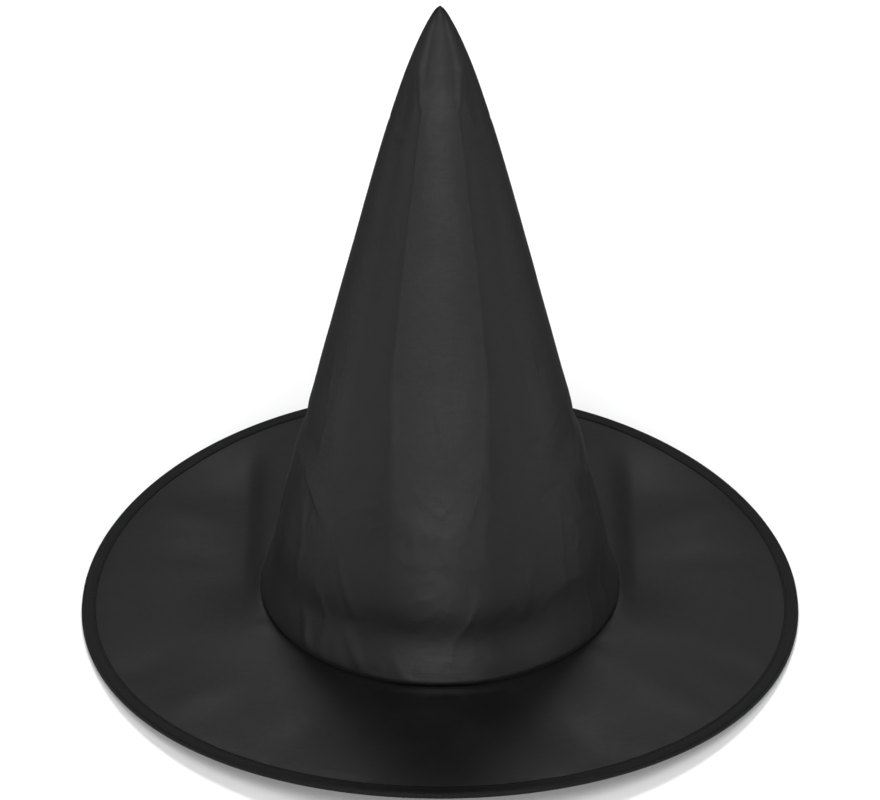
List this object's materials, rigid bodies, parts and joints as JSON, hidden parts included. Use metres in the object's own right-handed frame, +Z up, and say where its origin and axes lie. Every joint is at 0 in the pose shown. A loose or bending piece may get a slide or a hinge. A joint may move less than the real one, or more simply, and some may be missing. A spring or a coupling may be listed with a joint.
{
  "type": "witch hat",
  "caption": "Pointed black cloth hat with a wide round brim, a hoop in its bound edge, a stiffened cone whose tip bends and that folds down, and an inner head band.",
  "frame": {"origin": "centre of the brim, on the surface that the hat stands on", "axes": "+Z up along the cone to its tip, -Y to the front, +Y to the back seam, X from side to side"},
  "size_m": [0.38, 0.38, 0.361],
  "materials": {
    "nylon_cloth": "glossy black woven nylon with a soft sheen",
    "interlining": "matt black non-woven",
    "hoop_plastic": "natural nylon rod",
    "sleeve_metal": "plain rolled sheet",
    "binding_tape": "black woven tape",
    "band_tape": "black ribbed tape",
    "thread": "black polyester thread",
    "label_ribbon": "white satin ribbon, blank"
  },
  "bodies": {
    "brim_and_crown": {"brim_top_cloth": "nylon_cloth", "brim_interlining": "interlining", "brim_under_cloth": "nylon_cloth", "brim_hoop": "hoop_plastic", "hoop_sleeve": "sleeve_metal", "edge_binding": "binding_tape", "binding_stitch_top": "thread", "binding_stitch_under": "thread", "join_stitch": "thread", "head_band": "band_tape", "head_band_stitch": "thread", "crown_cloth_lower": "nylon_cloth", "crown_interlining_lower": "interlining", "seam_thread_lower": "thread", "crown_cloth_fold": "nylon_cloth", "crown_interlining_fold": "interlining", "seam_thread_fold": "thread"},
    "crown_middle": {"crown_cloth_middle": "nylon_cloth", "crown_interlining_middle": "interlining", "seam_thread_middle": "thread", "crown_cloth_bend": "nylon_cloth", "crown_interlining_bend": "interlining", "seam_thread_bend": "thread"},
    "crown_tip": {"crown_cloth_tip": "nylon_cloth", "crown_interlining_tip": "interlining", "seam_thread_tip": "thread"},
    "label": {"care_label": "label_ribbon"}
  },
  "joints": [
    {"name": "crown_fold_down", "type": "slide", "parent": "brim_and_crown", "child": "crown_middle", "axis": [0, 0, -1], "range_m": [0, 0.135], "deforming": ["crown_cloth_fold", "crown_interlining_fold", "seam_thread_fold"]},
    {"name": "tip_bend", "type": "hinge", "parent": "crown_middle", "child": "crown_tip", "pos_m": [0, 0, 0.25], "axis": [1, 0, 0], "range_deg": [-70, 70], "stiffness_Nm_per_rad": 0.03, "deforming": ["crown_cloth_bend", "crown_interlining_bend", "seam_thread_bend"]},
    {"name": "label_swing", "type": "hinge", "parent": "brim_and_crown", "child": "label", "pos_m": [0, 0.08357, 0.036], "axis": [0, -0.2236, 0.9747], "range_deg": [-80, 80]}
  ]
}
